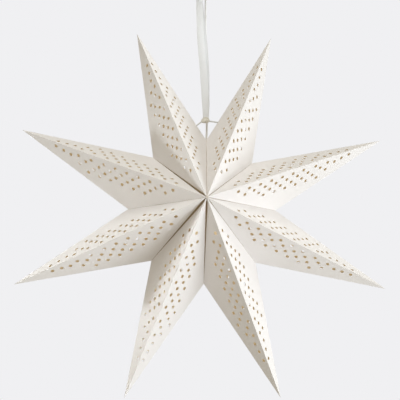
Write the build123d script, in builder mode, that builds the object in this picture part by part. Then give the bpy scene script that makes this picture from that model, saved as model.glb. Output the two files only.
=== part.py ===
"""Star pendant light: a perforated star of folded card on a ribbon, with a lamp on a flex inside it.

Millimetres, +Z up. The origin is on the ceiling, at the middle of the ceiling plate, and the front of
the star faces -Y. The flex hangs plumb behind the ribbon and enters the star at the seam on its top.
"""

import os
from math import cos, hypot, pi, radians, sin

from build123d import *

os.makedirs("parts", exist_ok=True)

# Star of folded card, round a level spine that runs from its front apex to its back apex
STAR_RADIUS = 300.0
VALLEY_RADIUS = 110.5
STAR_HALF_DEPTH = 95.0
STAR_DROP = 410.0
CARD = 0.6
FIN_WIDTH = 8.0
GLUE_GAP = 0.1

# Degrees that each point, and the valley before it, leans clockwise out of an even star, from the point
# right of the seam round, and how far each valley's outer end stands out from an even star
POINT_LEANS = (-1.3, 0.0, 0.4, 0.1, -0.3, 0.1, 1.4, 2.4)
VALLEY_LEANS = (3.0, 0.3, -0.9, -0.3, -0.9, -0.3, 0.4, 2.2)
VALLEY_RISES = (0.0, -3.6, 0.6, 1.5, 0.5, -1.9, 1.6, 0.7)

# Seam between the last point and the first, and the touch-fastener dots that close it
SEAM_GAP = 1.6
DOT_RADIUS = 3.5
DOT_SPACING = 50.0

# Rows of holes that slant away from each ridge, then single holes beside it towards the tip. Every hole
# is a square of the round hole's area, and the rows are shorter than the real ones, to keep faces few.
HOLE_RADIUS = 2.5
HOLE_SIDES = 4
HOLE_INSET = 9.3
HOLE_STEP_ALONG = 8.8
HOLE_STEP_ACROSS = 7.8
ROW_START = 53.5
ROW_PITCH = 19.4
ROW_HOLES = (2, 3, 3, 3, 3, 3, 2, 1)
TIP_HOLE_START = 214.0
TIP_HOLE_PITCH = 13.3
TIP_HOLE_COUNT = 3

# Ceiling plate and cup
PLATE_LENGTH = 84.0
PLATE_WIDTH = 30.0
PLATE_THICKNESS = 1.6
SLOT_PITCH = 68.0
SLOT_LENGTH = 10.0
SLOT_WIDTH = 4.5
CUP_RADIUS = 48.0
CUP_HEIGHT = 38.0
CUP_WALL = 1.2
CUP_CORNER = 9.0

# Hook that carries the ribbon, clamped to the plate and holding up the cup
HOOK_X = -12.0
HOOK_RADIUS = 2.0
HOOK_DROP = 55.0
HOOK_SEAT = 20.0
HOOK_TIP = 9.0
HOOK_BEND = 4.0
NUT_SIDES = 6
NUT_RADIUS = 4.0
NUT_HEIGHT = 3.2
WASHER_RADIUS = 5.5
WASHER_THICKNESS = 0.8
THREAD_CLEARANCE = 0.1
HOOK_HOLE_CLEARANCE = 0.3

# Flex, its grip in the cup and the terminals above it
FLEX_Y = 9.0
FLEX_RADIUS = 1.5
FLEX_CLEARANCE = 0.2
FLEX_BEND_GAP = 0.5
GRIP_LENGTH = 17.0
GRIP_FLANGE_RADIUS = 6.5
GRIP_FLANGE = 2.0
GRIP_NECK_RADIUS = 4.2
GRIP_NOSE_RADIUS = 3.0
GRIP_STEM_RADIUS = 3.6
GRIP_STEM = 8.0
GRIP_NUT_RADIUS = 6.5
GRIP_NUT_HEIGHT = 3.0
BLOCK_LENGTH = 24.0
BLOCK_WIDTH = 12.0
BLOCK_HEIGHT = 13.0
BLOCK_FILLET = 1.5
FLEX_ENTRY = 5.0
TERMINAL_PITCH = 13.0
TERMINAL_HEAD_RADIUS = 2.4
TERMINAL_HEAD = 1.2
TERMINAL_SHANK_RADIUS = 1.3
TERMINAL_SHANK = 6.0

# Ribbon, folded double over the hook, and its knot on the hanger wire
RIBBON_WIDTH = 11.0
RIBBON_THICKNESS = 0.6
RIBBON_HOOK_GAP = 0.5
STRAND_GAP = 0.6
KNOT_X = -1.5
KNOT_WIDTH = 12.5
KNOT_DEPTH = 8.0
KNOT_HEIGHT = 10.0
KNOT_FILLET = 3.2
KNOT_CLEARANCE = 0.15
RIBBON_KNOT_GAP = 0.3

# Wire bow between the two points at the seam
WIRE_RADIUS = 1.1
WIRE_CROWN = 31.0
WIRE_CROWN_LENGTH = 9.0
WIRE_BEND = 5.0
WIRE_REACH = 20.0
WIRE_TIP = 12.0
WIRE_HOLE_CLEARANCE = 0.6
WIRE_HOLE_FIRST = 34.0
WIRE_HOLE_LAST = 28.0
CORD_NOTCH_WIDTH = 14.4
CORD_NOTCH_LENGTH = 16.0
CORD_NOTCH_CORNER = 2.5
CORD_NOTCH_DEPTH = 45.0
CORD_NOTCH_HEIGHT = 65.0

# Lampholder, hanging on the flex
HOLDER_DROP = 345.0
HOLDER_WALL = 1.6
CAP_RADIUS = 13.0
CAP_HEIGHT = 15.0
CAP_SHOULDER = 7.0
HOLDER_GRIP_RADIUS = 4.0
HOLDER_GRIP_FLANGE_RADIUS = 5.5
HOLDER_GRIP_HEAD = 5.0
HOLDER_GRIP_STEM = 9.0
BODY_HEIGHT = 40.0
BODY_FOOT_RADIUS = 12.0
BODY_FOOT_WALL = 1.4
INSERT_HEIGHT = 12.0
INSERT_CLEARANCE = 0.2
INSERT_LEDGE = 1.5
SHELL_RADIUS = 7.2
SHELL_WALL = 0.5
SHELL_HEIGHT = 20.0
SHELL_OPENING = 4.5
CONTACT_WIDTH = 4.0
CONTACT_LENGTH = 6.0
CONTACT_THICKNESS = 0.5
CONTACT_DROP = 2.5
HOLDER_SCREW_PITCH = 14.0
HOLDER_SCREW_RADIUS = 1.25
HOLDER_SCREW_LENGTH = 7.0
HOLDER_SCREW_HEAD_RADIUS = 2.3
HOLDER_SCREW_HEAD = 1.4

# Screw-in globe bulb
BULB_CLEARANCE = 0.3
BULB_CAP_HEIGHT = 20.0
BULB_CAP_WALL = 0.4
BULB_TIP_RADIUS = 2.6
BULB_TIP = 0.8
BULB_CONE = 3.5
BULB_CONE_RADIUS = 3.4
COLLAR_HEIGHT = 17.0
COLLAR_RADIUS = 16.5
COLLAR_WALL = 1.4
GLOBE_RADIUS = 22.5
GLOBE_WALL = 1.2
BOARD_THICKNESS = 1.6
BOARD_CLEARANCE = 0.3

# Places worked out from the sizes above
POINT_COUNT = len(POINT_LEANS)
POINT_STEP = 360 / POINT_COUNT
SEAM_LEAN = VALLEY_LEANS[0]
SEAM_RADIUS = VALLEY_RADIUS + VALLEY_RISES[0]
HOLE_CORNER = HOLE_RADIUS * (2 * pi / (HOLE_SIDES * sin(2 * pi / HOLE_SIDES))) ** 0.5
STAR_X = -SEAM_RADIUS * sin(radians(SEAM_LEAN))
STAR_CENTRE = Vector(STAR_X, 0, -STAR_DROP)
STAR_PLANE = Plane(origin=STAR_CENTRE, x_dir=(1, 0, 0), z_dir=(0, -1, 0))
FLEX_PLANE = Plane.XZ.offset(-FLEX_Y)
FLEX_AXIS = Axis((0, FLEX_Y, 0), (0, 0, 1))


def save(part, name):
    """Label a finished piece and write it as its own file."""
    part.label = name
    export_step(part, f"parts/{name}.step")


def profile(*points):
    """Closed outline of (radius, height) points beside the flex's line."""
    with BuildSketch(FLEX_PLANE) as outline:
        with BuildLine():
            Polyline(*points, close=True)
        make_face()
    return outline.sketch


def along(angle, radius):
    """Place in the star's middle plane, at an angle clockwise from straight up."""
    return (radius * sin(radians(angle)), radius * cos(radians(angle)))


def star_place(angle, radius, forward=0.0):
    """The same place in space, moved towards the front of the star."""
    across, up = along(angle, radius)
    return STAR_CENTRE + Vector(across, -forward, up)


def tip_angle(index):
    return (index + 0.5) * POINT_STEP + POINT_LEANS[index]


def valley_angle(index):
    """Angle of the valley before a point; valley 0, which is also the last, is the seam."""
    index = index % POINT_COUNT
    return index * POINT_STEP + VALLEY_LEANS[index]


def valley_radius(index):
    return VALLEY_RADIUS + VALLEY_RISES[index % POINT_COUNT]


def plane_away_from(inside, first, second, third):
    """Plane through three places, facing away from a fourth, with its X axis from first to second."""
    normal = (second - first).cross(third - first)
    if normal.dot(inside - first) > 0:
        normal = -normal
    return Plane(origin=first, x_dir=second - first, z_dir=normal)


# Seam places that the points, the dots and the wire share
SEAM_NOTCH = star_place(SEAM_LEAN, SEAM_RADIUS)
FIRST_TIP = star_place(tip_angle(0), STAR_RADIUS)
LAST_TIP = star_place(tip_angle(POINT_COUNT - 1), STAR_RADIUS)
FIRST_WIRE_HOLE = SEAM_NOTCH + (FIRST_TIP - SEAM_NOTCH).normalized() * WIRE_HOLE_FIRST
LAST_WIRE_HOLE = SEAM_NOTCH + (LAST_TIP - SEAM_NOTCH).normalized() * WIRE_HOLE_LAST
SEAM_LENGTH = hypot(SEAM_RADIUS, STAR_HALF_DEPTH)
SEAM_SPAN = SEAM_RADIUS * STAR_HALF_DEPTH / SEAM_LENGTH


def fin_share(radius):
    """Share of a valley, from the star's centre out, that its glue fin leaves open."""
    return 1 - FIN_WIDTH * hypot(radius, STAR_HALF_DEPTH) / (radius * STAR_HALF_DEPTH)


def star_point(index):
    """One hollow point: four card panels folded from one sheet, with a glue fin along each valley."""
    angles = (valley_angle(index), valley_angle(index + 1))
    radii = (valley_radius(index), valley_radius(index + 1))
    gaps = [SEAM_GAP if angle == SEAM_LEAN else GLUE_GAP for angle in angles]
    notches = [star_place(angle, radius) for angle, radius in zip(angles, radii)]
    tip = star_place(tip_angle(index), STAR_RADIUS)
    apexes = [star_place(0, 0, side * STAR_HALF_DEPTH) for side in (1, -1)]
    inside = star_place(tip_angle(index), VALLEY_RADIUS)
    panels = [(plane_away_from(inside, apex, tip, notch), notch) for apex in apexes for notch in notches]
    valleys = [plane_away_from(inside, STAR_CENTRE, notch, apexes[0]) for notch in notches]

    with BuildPart() as point:
        with BuildSketch(STAR_PLANE):
            with BuildLine():
                Polyline(
                    (0, 0),
                    along(angles[0], radii[0]),
                    along(tip_angle(index), STAR_RADIUS),
                    along(angles[1], radii[1]),
                    close=True,
                )
            make_face()
        extrude(amount=STAR_HALF_DEPTH, both=True)
        for panel, _ in panels:
            split(bisect_by=panel, keep=Keep.BOTTOM)
        for valley, gap in zip(valleys, gaps):
            split(bisect_by=valley.offset(-gap / 2), keep=Keep.BOTTOM)
        offset(amount=-CARD, kind=Kind.INTERSECTION, mode=Mode.SUBTRACT)

        # Inner window that leaves only the glue fins along the two valleys of each side
        for valley, radius, gap in zip(valleys, radii, gaps):
            open_radius = fin_share(radius) * radius
            open_depth = fin_share(radius) * STAR_HALF_DEPTH
            with BuildSketch(valley):
                with BuildLine():
                    Polyline(
                        (open_radius, 0),
                        (0, open_depth),
                        (-FIN_WIDTH, open_depth),
                        (-FIN_WIDTH, -open_depth),
                        (0, -open_depth),
                        close=True,
                    )
                make_face()
            extrude(amount=-(gap / 2 + 2 * CARD), mode=Mode.SUBTRACT)

        # Holes in rows from the ridge of each panel
        for panel, notch in panels:
            side = 1 if (notch - panel.origin).dot(panel.y_dir) > 0 else -1
            rows = [
                (
                    ROW_START + ROW_PITCH * row + HOLE_STEP_ALONG * hole,
                    side * (HOLE_INSET + HOLE_STEP_ACROSS * hole),
                )
                for row, count in enumerate(ROW_HOLES)
                for hole in range(count)
            ]
            singles = [
                (TIP_HOLE_START + TIP_HOLE_PITCH * hole, side * HOLE_INSET)
                for hole in range(TIP_HOLE_COUNT)
            ]
            with BuildSketch(panel):
                with Locations(*rows, *singles):
                    RegularPolygon(HOLE_CORNER, HOLE_SIDES)
            extrude(amount=-2 * CARD, mode=Mode.SUBTRACT)

        # At the seam, a punched hole for the hanger wire and a notch for the flex
        if SEAM_LEAN in angles:
            wire_hole = FIRST_WIRE_HOLE if index == 0 else LAST_WIRE_HOLE
            with BuildSketch(Plane(origin=wire_hole, z_dir=wire_hole - KNOT_CENTRE)):
                Circle(WIRE_RADIUS + WIRE_HOLE_CLEARANCE)
            extrude(amount=WIRE_BEND, both=True, mode=Mode.SUBTRACT)
            with BuildSketch(Plane.XY.offset(SEAM_NOTCH.Z - CORD_NOTCH_DEPTH)):
                with Locations((0, FLEX_Y)):
                    RectangleRounded(CORD_NOTCH_WIDTH, CORD_NOTCH_LENGTH, CORD_NOTCH_CORNER)
            extrude(amount=CORD_NOTCH_HEIGHT, mode=Mode.SUBTRACT)
    return point.part


# Hanger wire: a bow whose ends pass through the two punched holes and turn up inside the points
KNOT_CENTRE = Vector(KNOT_X, 0, SEAM_NOTCH.Z + WIRE_CROWN)
crown_last = KNOT_CENTRE - Vector(WIRE_CROWN_LENGTH / 2, 0, 0)
crown_first = KNOT_CENTRE + Vector(WIRE_CROWN_LENGTH / 2, 0, 0)
last_bend = LAST_WIRE_HOLE + (LAST_WIRE_HOLE - crown_last).normalized() * WIRE_REACH
first_bend = FIRST_WIRE_HOLE + (FIRST_WIRE_HOLE - crown_first).normalized() * WIRE_REACH
wire_tip = Vector(0, 0, WIRE_TIP)

with BuildPart() as hanger_wire:
    with BuildLine() as bow:
        FilletPolyline(
            last_bend + wire_tip,
            last_bend,
            crown_last,
            crown_first,
            first_bend,
            first_bend + wire_tip,
            radius=WIRE_BEND,
        )
    with BuildSketch(Plane(origin=bow.line @ 0, z_dir=bow.line % 0)):
        Circle(WIRE_RADIUS)
    sweep()
save(hanger_wire.part, "hanger_wire")

for number in range(POINT_COUNT):
    save(star_point(number), f"star_point_{number + 1}")

# Touch-fastener dots between the two fins of the seam, the hook half on the last point
SEAM_PLANE = plane_away_from(LAST_TIP, STAR_CENTRE, SEAM_NOTCH, star_place(0, 0, STAR_HALF_DEPTH))
fin_middle = 1 - FIN_WIDTH / 2 / SEAM_SPAN
dot_places = [
    (
        SEAM_RADIUS * (fin_middle / 2 + end * DOT_SPACING / 2 / SEAM_LENGTH),
        side * STAR_HALF_DEPTH * (fin_middle / 2 - end * DOT_SPACING / 2 / SEAM_LENGTH),
    )
    for side in (1, -1)
    for end in (1, -1)
]

with BuildPart() as seam_hook_dots:
    with BuildSketch(SEAM_PLANE):
        with Locations(*dot_places):
            Circle(DOT_RADIUS)
    extrude(amount=-SEAM_GAP / 2)
save(seam_hook_dots.part, "seam_hook_dots")

with BuildPart() as seam_loop_dots:
    with BuildSketch(SEAM_PLANE):
        with Locations(*dot_places):
            Circle(DOT_RADIUS)
    extrude(amount=SEAM_GAP / 2)
save(seam_loop_dots.part, "seam_loop_dots")

# Ribbon knot: a rounded lump of ribbon round the crown of the wire
with BuildPart() as ribbon_knot:
    with BuildSketch(Plane.XZ.offset(-KNOT_DEPTH / 2)):
        with Locations((KNOT_CENTRE.X, KNOT_CENTRE.Z)):
            Ellipse(KNOT_WIDTH / 2, KNOT_HEIGHT / 2)
    extrude(amount=KNOT_DEPTH)
    fillet(ribbon_knot.edges().filter_by(GeomType.ELLIPSE), radius=KNOT_FILLET)
    with BuildSketch(Plane(origin=bow.line @ 0, z_dir=bow.line % 0)):
        Circle(WIRE_RADIUS + KNOT_CLEARANCE)
    sweep(path=bow.line, mode=Mode.SUBTRACT)
save(ribbon_knot.part, "ribbon_knot")

# Ribbon: one band folded over the hook, both strands running down to the knot
HOOK_SEAT_CENTRE = Vector(HOOK_X, 0, -HOOK_DROP)
ribbon_end = KNOT_CENTRE + Vector(0, 0, KNOT_HEIGHT / 2 + RIBBON_KNOT_GAP)
ribbon_run = ribbon_end - HOOK_SEAT_CENTRE
RIBBON_PLANE = Plane(
    origin=HOOK_SEAT_CENTRE, x_dir=(0, 1, 0), z_dir=Vector(0, 1, 0).cross(ribbon_run)
)
ribbon_loop = HOOK_RADIUS + RIBBON_HOOK_GAP
end_below = (0, ribbon_run.length)

with BuildPart() as ribbon:
    with BuildSketch(RIBBON_PLANE):
        Circle(ribbon_loop + RIBBON_THICKNESS)
        with Locations(end_below):
            Circle(STRAND_GAP / 2 + RIBBON_THICKNESS)
        make_hull()
    extrude(amount=RIBBON_WIDTH / 2, both=True)
    with BuildSketch(RIBBON_PLANE):
        Circle(ribbon_loop)
        with Locations(end_below):
            Circle(STRAND_GAP / 2)
        make_hull()
    extrude(amount=RIBBON_WIDTH / 2, both=True, mode=Mode.SUBTRACT)
    split(bisect_by=Plane(origin=ribbon_end, z_dir=(0, 0, 1)), keep=Keep.TOP)
save(ribbon.part, "ribbon")

# Ceiling plate: a flat bar with a screw slot at each end and a hole for the hook
hook_shank_x = HOOK_X - HOOK_SEAT / 2
with BuildPart() as ceiling_plate:
    with BuildSketch():
        SlotOverall(PLATE_LENGTH, PLATE_WIDTH)
        with GridLocations(SLOT_PITCH, 0, 2, 1):
            SlotOverall(SLOT_LENGTH, SLOT_WIDTH, mode=Mode.SUBTRACT)
        with Locations((hook_shank_x, 0)):
            Circle(HOOK_RADIUS + THREAD_CLEARANCE, mode=Mode.SUBTRACT)
    extrude(amount=-PLATE_THICKNESS)
save(ceiling_plate.part, "ceiling_plate")

# Ceiling cup: a drawn steel cup, open against the ceiling, pierced for the hook and the cord grip
with BuildPart() as ceiling_cup:
    with BuildSketch(Plane.XY.offset(-CUP_HEIGHT)):
        Circle(CUP_RADIUS)
    extrude(amount=CUP_HEIGHT)
    fillet(ceiling_cup.edges().group_by(Axis.Z)[0], radius=CUP_CORNER)
    offset(amount=-CUP_WALL, openings=ceiling_cup.faces().sort_by(Axis.Z)[-1])
    with BuildSketch(Plane.XY.offset(-CUP_HEIGHT)):
        with Locations((hook_shank_x, 0)):
            Circle(HOOK_RADIUS + HOOK_HOLE_CLEARANCE)
        with Locations((0, FLEX_Y)):
            Circle(GRIP_STEM_RADIUS + THREAD_CLEARANCE)
    extrude(amount=2 * CUP_WALL, mode=Mode.SUBTRACT)
save(ceiling_cup.part, "ceiling_cup")

# Hook: a bent rod with a level seat for the ribbon and an upturned tip
hook_tip_x = HOOK_X + HOOK_SEAT / 2
with BuildPart() as ribbon_hook:
    with BuildLine() as rod:
        FilletPolyline(
            (hook_shank_x, 0, 0),
            (hook_shank_x, 0, -HOOK_DROP),
            (hook_tip_x, 0, -HOOK_DROP),
            (hook_tip_x, 0, HOOK_TIP - HOOK_DROP),
            radius=HOOK_BEND,
        )
    with BuildSketch():
        with Locations((hook_shank_x, 0)):
            Circle(HOOK_RADIUS)
    sweep()
save(ribbon_hook.part, "ribbon_hook")


def hook_nut(top):
    """Hexagon nut on the hook's threaded shank, hanging down from a height."""
    with BuildPart() as nut:
        with BuildSketch(Plane.XY.offset(top)):
            with Locations((hook_shank_x, 0)):
                RegularPolygon(NUT_RADIUS, NUT_SIDES)
                Circle(HOOK_RADIUS + THREAD_CLEARANCE, mode=Mode.SUBTRACT)
        extrude(amount=-NUT_HEIGHT)
    return nut.part


save(hook_nut(-PLATE_THICKNESS), "hook_plate_nut")
save(hook_nut(-CUP_HEIGHT - WASHER_THICKNESS), "hook_cup_nut")

with BuildPart() as hook_washer:
    with BuildSketch(Plane.XY.offset(-CUP_HEIGHT)):
        with Locations((hook_shank_x, 0)):
            Circle(WASHER_RADIUS)
            Circle(HOOK_RADIUS + HOOK_HOLE_CLEARANCE, mode=Mode.SUBTRACT)
    extrude(amount=-WASHER_THICKNESS)
save(hook_washer.part, "hook_washer")

# Cord grip: a tapered nose below the cup, with a threaded stem up through its floor
flex_bore = FLEX_RADIUS + FLEX_CLEARANCE
grip_exit = -CUP_HEIGHT - GRIP_LENGTH
stem_top = -CUP_HEIGHT + CUP_WALL + GRIP_STEM
with BuildPart() as cord_grip:
    revolve(
        profile(
            (flex_bore, grip_exit),
            (GRIP_NOSE_RADIUS, grip_exit),
            (GRIP_NECK_RADIUS, -CUP_HEIGHT - GRIP_FLANGE),
            (GRIP_FLANGE_RADIUS, -CUP_HEIGHT - GRIP_FLANGE),
            (GRIP_FLANGE_RADIUS, -CUP_HEIGHT),
            (GRIP_STEM_RADIUS, -CUP_HEIGHT),
            (GRIP_STEM_RADIUS, stem_top),
            (flex_bore, stem_top),
        ),
        axis=FLEX_AXIS,
    )
save(cord_grip.part, "cord_grip")

with BuildPart() as cord_grip_nut:
    with BuildSketch(Plane.XY.offset(-CUP_HEIGHT + CUP_WALL)):
        with Locations((0, FLEX_Y)):
            RegularPolygon(GRIP_NUT_RADIUS, NUT_SIDES)
            Circle(GRIP_STEM_RADIUS + THREAD_CLEARANCE, mode=Mode.SUBTRACT)
    extrude(amount=GRIP_NUT_HEIGHT)
save(cord_grip_nut.part, "cord_grip_nut")

# Terminal block under the plate, with the flex going up into its floor
block_floor = -PLATE_THICKNESS - BLOCK_HEIGHT
with BuildPart() as terminal_block:
    with BuildSketch(Plane.XY.offset(-PLATE_THICKNESS)):
        with Locations((0, FLEX_Y)):
            RectangleRounded(BLOCK_LENGTH, BLOCK_WIDTH, BLOCK_FILLET)
    extrude(amount=-BLOCK_HEIGHT)
    with BuildSketch(Plane.XY.offset(block_floor)):
        with Locations((0, FLEX_Y)):
            Circle(flex_bore)
    extrude(amount=FLEX_ENTRY, mode=Mode.SUBTRACT)
    with BuildSketch(Plane.XY.offset(block_floor)):
        with Locations((0, FLEX_Y)):
            with GridLocations(TERMINAL_PITCH, 0, 2, 1):
                Circle(TERMINAL_SHANK_RADIUS + THREAD_CLEARANCE)
    extrude(amount=TERMINAL_SHANK + THREAD_CLEARANCE, mode=Mode.SUBTRACT)
save(terminal_block.part, "terminal_block")

with BuildPart() as terminal_screws:
    with BuildSketch(Plane.XY.offset(block_floor)):
        with Locations((0, FLEX_Y)):
            with GridLocations(TERMINAL_PITCH, 0, 2, 1):
                Circle(TERMINAL_HEAD_RADIUS)
    extrude(amount=-TERMINAL_HEAD)
    with BuildSketch(Plane.XY.offset(block_floor)):
        with Locations((0, FLEX_Y)):
            with GridLocations(TERMINAL_PITCH, 0, 2, 1):
                Circle(TERMINAL_SHANK_RADIUS)
    extrude(amount=TERMINAL_SHANK)
save(terminal_screws.part, "terminal_screws")

# Flex: the end held in the ceiling grip, and the taut stretch from the grip down into the lampholder
with BuildPart() as flex_tail:
    with BuildSketch(Plane.XY.offset(grip_exit + FLEX_BEND_GAP)):
        with Locations((0, FLEX_Y)):
            Circle(FLEX_RADIUS)
    extrude(amount=block_floor + FLEX_ENTRY - grip_exit - FLEX_BEND_GAP)
save(flex_tail.part, "flex_tail")

grip_foot = -HOLDER_DROP - HOLDER_GRIP_STEM
with BuildPart() as pendant_flex:
    with BuildSketch(Plane.XY.offset(grip_exit)):
        with Locations((0, FLEX_Y)):
            Circle(FLEX_RADIUS)
    extrude(amount=grip_foot - grip_exit)
save(pendant_flex.part, "pendant_flex")

# Lampholder cap: a round-shouldered cover with a bore for its cord grip
cap_foot = -HOLDER_DROP - CAP_HEIGHT
with BuildPart() as holder_cap:
    with BuildSketch(Plane.XY.offset(cap_foot)):
        with Locations((0, FLEX_Y)):
            Circle(CAP_RADIUS)
    extrude(amount=CAP_HEIGHT)
    fillet(holder_cap.edges().group_by(Axis.Z)[-1], radius=CAP_SHOULDER)
    offset(amount=-HOLDER_WALL, openings=holder_cap.faces().sort_by(Axis.Z)[0])
    with BuildSketch(Plane.XY.offset(-HOLDER_DROP)):
        with Locations((0, FLEX_Y)):
            Circle(HOLDER_GRIP_RADIUS + THREAD_CLEARANCE)
    extrude(amount=-2 * HOLDER_WALL, mode=Mode.SUBTRACT)
save(holder_cap.part, "holder_cap")

with BuildPart() as holder_grip:
    revolve(
        profile(
            (flex_bore, grip_foot),
            (HOLDER_GRIP_RADIUS, grip_foot),
            (HOLDER_GRIP_RADIUS, -HOLDER_DROP),
            (HOLDER_GRIP_FLANGE_RADIUS, -HOLDER_DROP),
            (HOLDER_GRIP_RADIUS, -HOLDER_DROP + HOLDER_GRIP_HEAD),
            (flex_bore, -HOLDER_DROP + HOLDER_GRIP_HEAD),
        ),
        axis=FLEX_AXIS,
    )
save(holder_grip.part, "holder_grip")

# Lampholder body: a tapered skirt with a ledge inside that carries the insert
body_foot = cap_foot - BODY_HEIGHT
insert_floor = cap_foot - INSERT_HEIGHT
insert_radius = BODY_FOOT_RADIUS - HOLDER_WALL - INSERT_CLEARANCE
with BuildPart() as holder_body:
    revolve(
        profile(
            (CAP_RADIUS, cap_foot),
            (BODY_FOOT_RADIUS, body_foot),
            (BODY_FOOT_RADIUS - BODY_FOOT_WALL, body_foot),
            (BODY_FOOT_RADIUS - HOLDER_WALL - INSERT_LEDGE, insert_floor - INSERT_LEDGE),
            (BODY_FOOT_RADIUS - HOLDER_WALL - INSERT_LEDGE, insert_floor),
            (BODY_FOOT_RADIUS - HOLDER_WALL, insert_floor),
            (BODY_FOOT_RADIUS - HOLDER_WALL, cap_foot),
        ),
        axis=FLEX_AXIS,
    )
save(holder_body.part, "holder_body")

# Insert: the insulating core with its two terminal bores
with BuildPart() as holder_insert:
    with BuildSketch(Plane.XY.offset(insert_floor)):
        with Locations((0, FLEX_Y)):
            Circle(insert_radius)
            with GridLocations(HOLDER_SCREW_PITCH, 0, 2, 1):
                Circle(HOLDER_SCREW_RADIUS + THREAD_CLEARANCE, mode=Mode.SUBTRACT)
    extrude(amount=INSERT_HEIGHT)
save(holder_insert.part, "holder_insert")

with BuildPart() as holder_screws:
    with BuildSketch(Plane.XY.offset(cap_foot)):
        with Locations((0, FLEX_Y)):
            with GridLocations(HOLDER_SCREW_PITCH, 0, 2, 1):
                Circle(HOLDER_SCREW_HEAD_RADIUS)
    extrude(amount=HOLDER_SCREW_HEAD)
    with BuildSketch(Plane.XY.offset(cap_foot)):
        with Locations((0, FLEX_Y)):
            with GridLocations(HOLDER_SCREW_PITCH, 0, 2, 1):
                Circle(HOLDER_SCREW_RADIUS)
    extrude(amount=-HOLDER_SCREW_LENGTH)
save(holder_screws.part, "holder_screws")

# Screw shell under the insert, with an opening in its head for the centre contact
shell_foot = insert_floor - SHELL_HEIGHT
with BuildPart() as holder_shell:
    revolve(
        profile(
            (SHELL_OPENING, insert_floor),
            (SHELL_RADIUS + SHELL_WALL, insert_floor),
            (SHELL_RADIUS + SHELL_WALL, shell_foot),
            (SHELL_RADIUS, shell_foot),
            (SHELL_RADIUS, insert_floor - SHELL_WALL),
            (SHELL_OPENING, insert_floor - SHELL_WALL),
        ),
        axis=FLEX_AXIS,
    )
save(holder_shell.part, "holder_shell")

# Centre contact: a sprung tongue bent down from the insert
contact_half = CONTACT_LENGTH / 2
with BuildPart() as holder_contact:
    with BuildSketch(FLEX_PLANE):
        with BuildLine():
            Polyline(
                (-contact_half, insert_floor),
                (contact_half, insert_floor),
                (contact_half, insert_floor - CONTACT_DROP),
                (-contact_half, insert_floor - CONTACT_DROP),
                (-contact_half, insert_floor - CONTACT_DROP + CONTACT_THICKNESS),
                (contact_half - CONTACT_THICKNESS, insert_floor - CONTACT_DROP + CONTACT_THICKNESS),
                (contact_half - CONTACT_THICKNESS, insert_floor - CONTACT_THICKNESS),
                (-contact_half, insert_floor - CONTACT_THICKNESS),
                close=True,
            )
        make_face()
    extrude(amount=CONTACT_WIDTH / 2, both=True)
save(holder_contact.part, "holder_contact")

# Bulb: end contact, insulating cone, screw cap, collar, light board and opal globe
bulb_radius = SHELL_RADIUS - BULB_CLEARANCE
bulb_top = insert_floor - CONTACT_DROP - BULB_CLEARANCE
cone_top = bulb_top - BULB_TIP
cap_top = cone_top - BULB_CONE
bulb_cap_foot = cap_top - BULB_CAP_HEIGHT
collar_foot = bulb_cap_foot - COLLAR_HEIGHT
globe_rise = (GLOBE_RADIUS**2 - COLLAR_RADIUS**2) ** 0.5
globe_centre = collar_foot - globe_rise
board_radius = ((GLOBE_RADIUS - GLOBE_WALL) ** 2 - globe_rise**2) ** 0.5 - BOARD_CLEARANCE

with BuildPart() as bulb_contact:
    with BuildSketch(Plane.XY.offset(cone_top)):
        with Locations((0, FLEX_Y)):
            Circle(BULB_TIP_RADIUS)
    extrude(amount=BULB_TIP)
save(bulb_contact.part, "bulb_contact")

with BuildPart() as bulb_insulator:
    revolve(
        profile(
            (0, cone_top),
            (BULB_CONE_RADIUS, cone_top),
            (bulb_radius, cap_top),
            (0, cap_top),
        ),
        axis=FLEX_AXIS,
    )
save(bulb_insulator.part, "bulb_insulator")

with BuildPart() as bulb_cap:
    revolve(
        profile(
            (bulb_radius - BULB_CAP_WALL, cap_top),
            (bulb_radius, cap_top),
            (bulb_radius, bulb_cap_foot),
            (bulb_radius - BULB_CAP_WALL, bulb_cap_foot),
        ),
        axis=FLEX_AXIS,
    )
save(bulb_cap.part, "bulb_cap")

with BuildPart() as bulb_collar:
    revolve(
        profile(
            (bulb_radius - BULB_CAP_WALL, bulb_cap_foot),
            (bulb_radius, bulb_cap_foot),
            (COLLAR_RADIUS, collar_foot),
            (COLLAR_RADIUS - COLLAR_WALL, collar_foot),
            (bulb_radius - COLLAR_WALL, bulb_cap_foot),
        ),
        axis=FLEX_AXIS,
    )
save(bulb_collar.part, "bulb_collar")

with BuildPart() as led_board:
    with BuildSketch(Plane.XY.offset(collar_foot)):
        with Locations((0, FLEX_Y)):
            Circle(board_radius)
    extrude(amount=-BOARD_THICKNESS)
save(led_board.part, "led_board")

with BuildPart() as bulb_globe:
    with Locations((0, FLEX_Y, globe_centre)):
        Sphere(GLOBE_RADIUS)
        Sphere(GLOBE_RADIUS - GLOBE_WALL, mode=Mode.SUBTRACT)
    split(bisect_by=Plane.XY.offset(collar_foot), keep=Keep.BOTTOM)
save(bulb_globe.part, "bulb_globe")
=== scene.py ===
import math

import bpy
from mathutils import Matrix, Vector


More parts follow.
